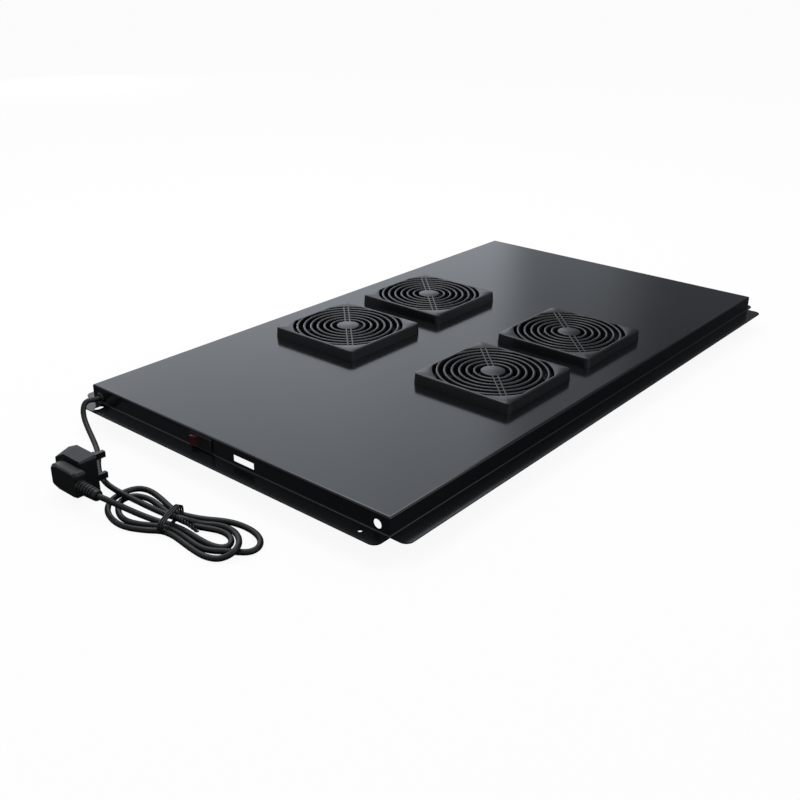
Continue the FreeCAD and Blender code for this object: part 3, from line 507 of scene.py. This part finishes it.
def tie_shape():
    """Plastic-covered wire wound two and a half times round the hank, with its ends twisted together.

    The winding is a flattened loop, a superellipse of power four, that moves along the cord as it turns;
    the twist is a helix pair about a quadratic curve that bends down between the loops.
    """
    middle = np.array([29.0, -463.0, 5.6])
    across = np.array([0.42, -0.907, 0.0])
    along = np.array([0.907, 0.42, 0.0])
    t = np.linspace(0, 2 * np.pi * 2.6, 150)
    half, wire = 18.4, 0.95
    height = np.where(np.sin(t) > 0, 7.2, 4.55)
    winding = middle + np.outer(half * squared_off(np.cos(t)), across)
    winding += np.outer(1.9 * (t / t[-1] - 0.5) * 3, along)
    winding += np.outer(height * squared_off(np.sin(t)), [0, 0, 1])
    parts = [swept(winding, wire)]
    s = np.linspace(0, 1, 90)
    ends = np.array([(30.0, -463.5, 12.9), (46.0, -462.0, 11.5), (60.5, -458.6, 4.2)])
    for phase in (0, np.pi):
        turn = s * 2 * np.pi * 5 + phase
        bend = np.stack([(1 - s) ** 2, 2 * s * (1 - s), s ** 2], 1) @ ends
        round_it = np.outer(np.cos(turn), [-0.1, 0.99, 0]) + np.outer(np.sin(turn), [0.3, 0, 0.95])
        twist = bend + wire * round_it
        parts.append(swept(twist, 0.9))
    return joined(parts)


tie_points, tie_faces = tie_shape()
tie = piece("twist_tie", tie_points, tie_faces, TIE_PVC, "tray", 60)
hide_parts("cord_tie")


# ---------------------------------------------------------------- floor, light and camera
FLOOR_SHADE = 0.05
AMBIENT = 0.6
DARK_BEARING = 85.0
DARK_WALL = 0.15
WALL_STEPS = ((29, 33.5, 0.27), (37, 39.3, 0.66), (42, 50, 0.17), (88, 108, -0.8))
WALL_TINT = (0.93, 1.0, 1.09, 1.0)


def floor_material():
    """Pale floor: near white where the camera sees it, with part of its real shading so that shadows stay."""
    material = bpy.data.materials.new("pale floor")
    material.use_nodes = True
    tree = material.node_tree
    tree.nodes.clear()
    ray = add(tree, "ShaderNodeLightPath")
    matt = add(tree, "ShaderNodeBsdfDiffuse", {"Color": (FLOOR_SHADE, FLOOR_SHADE, FLOOR_SHADE, 1)})
    pale = add(tree, "ShaderNodeBsdfDiffuse", {"Color": (1, 1, 1, 1)})
    glow = add(tree, "ShaderNodeEmission", {"Color": (1, 1, 1, 1), "Strength": 1.0})
    seen = add(tree, "ShaderNodeMixShader", {0: 0.92, 1: pale.outputs[0], 2: glow.outputs[0]})
    both = add(tree, "ShaderNodeMixShader", {
        0: ray.outputs["Is Camera Ray"], 1: matt.outputs[0], 2: seen.outputs[0],
    })
    add(tree, "ShaderNodeOutputMaterial", {"Surface": both.outputs[0]})
    return material


def floor():
    size = 12.0
    mesh = bpy.data.meshes.new("floor")
    corners = [(-size, -size, 0), (size, -size, 0), (size, size, 0), (-size, size, 0)]
    mesh.from_pydata(corners, [], [(0, 1, 2, 3)])
    made = bpy.data.objects.new("floor", mesh)
    mesh.materials.append(floor_material())
    bpy.context.scene.collection.objects.link(made)


def studio():
    """Studio with bright walls and one dark sector, a softbox over the object and a window low on its left.

    The walls' brightness goes by the angle between a direction and the middle of the dark sector, both seen
    from above: dark near it, then a dim step, then bright, and dim again behind the camera.
    """
    world = bpy.data.worlds.new("studio")
    bpy.context.scene.world = world
    world.use_nodes = True
    tree = world.node_tree
    tree.nodes.clear()
    ray = add(tree, "ShaderNodeLightPath")
    direction = add(tree, "ShaderNodeSeparateXYZ", {0: add(tree, "ShaderNodeTexCoord").outputs["Generated"]})
    bearing = add(tree, "ShaderNodeMath", {
        0: direction.outputs["Y"], 1: direction.outputs["X"],
    }, operation="ARCTAN2")
    off = add(tree, "ShaderNodeMath", {
        0: bearing.outputs[0], 1: math.radians(DARK_BEARING),
    }, operation="SUBTRACT")
    away = add(tree, "ShaderNodeMath", {0: off.outputs[0]}, operation="ABSOLUTE").outputs[0]
    total = DARK_WALL
    for first, last, rise in WALL_STEPS:
        step = add(tree, "ShaderNodeMapRange", {
            "Value": away, "From Min": math.radians(first), "From Max": math.radians(last), "To Max": rise,
        }, interpolation_type="SMOOTHSTEP")
        total = add(tree, "ShaderNodeMath", {0: total, 1: step.outputs["Result"]}).outputs[0]
    tinted = add(tree, "ShaderNodeMix", {
        "Factor": 1.0, "A": WALL_TINT, "B": total,
    }, data_type="RGBA", blend_type="MULTIPLY")
    mirrored = add(tree, "ShaderNodeMix", {
        "Factor": ray.outputs["Is Glossy Ray"],
        "A": (AMBIENT, AMBIENT, AMBIENT, 1), "B": tinted.outputs["Result"],
    }, data_type="RGBA")
    seen = add(tree, "ShaderNodeMix", {
        "Factor": ray.outputs["Is Camera Ray"], "A": mirrored.outputs["Result"], "B": (1, 1, 1, 1),
    }, data_type="RGBA")
    sky = add(tree, "ShaderNodeBackground", {"Color": seen.outputs["Result"], "Strength": 1.0})
    add(tree, "ShaderNodeOutputWorld", {"Surface": sky.outputs[0]})

    for name, place, target, size, energy in (
        ("softbox", (-0.6, 0.2, 1.9), (0, -0.1, 0), (1.6, 1.2), 16),
        ("window", (-2.75, 1.25, 0.42), (-0.1, 0, 0.05), (0.25, 0.5), 2.3),
    ):
        lamp = bpy.data.lights.new(name, "AREA")
        lamp.shape, lamp.size, lamp.size_y, lamp.energy = "RECTANGLE", *size, energy
        made = bpy.data.objects.new(name, lamp)
        made.matrix_world = facing(Vector(place), Vector(target))
        bpy.context.scene.collection.objects.link(made)


def facing(place, target):
    """Matrix of a lamp or camera at a place, looking at a target with its top upwards."""
    turn = (target - place).to_track_quat("-Z", "Y").to_matrix().to_4x4()
    return Matrix.Translation(place) @ turn


def camera():
    data = bpy.data.cameras.new("camera")
    data.lens, data.sensor_width = 45.0, 36.0
    data.clip_end = 100
    made = bpy.data.objects.new("camera", data)
    right = Vector((0.7668, 0.6418, 0.0076)).normalized()
    forward = Vector((-0.5802, 0.6981, -0.4196)).normalized()
    up = right.cross(forward)
    turn = Matrix((right, up, -forward)).transposed().to_4x4()
    made.matrix_world = Matrix.Translation((0.6713, -0.9186, 0.4766)) @ turn
    bpy.context.scene.collection.objects.link(made)
    bpy.context.scene.camera = made


floor()
studio()
camera()
bpy.context.scene.view_settings.view_transform = "Standard"
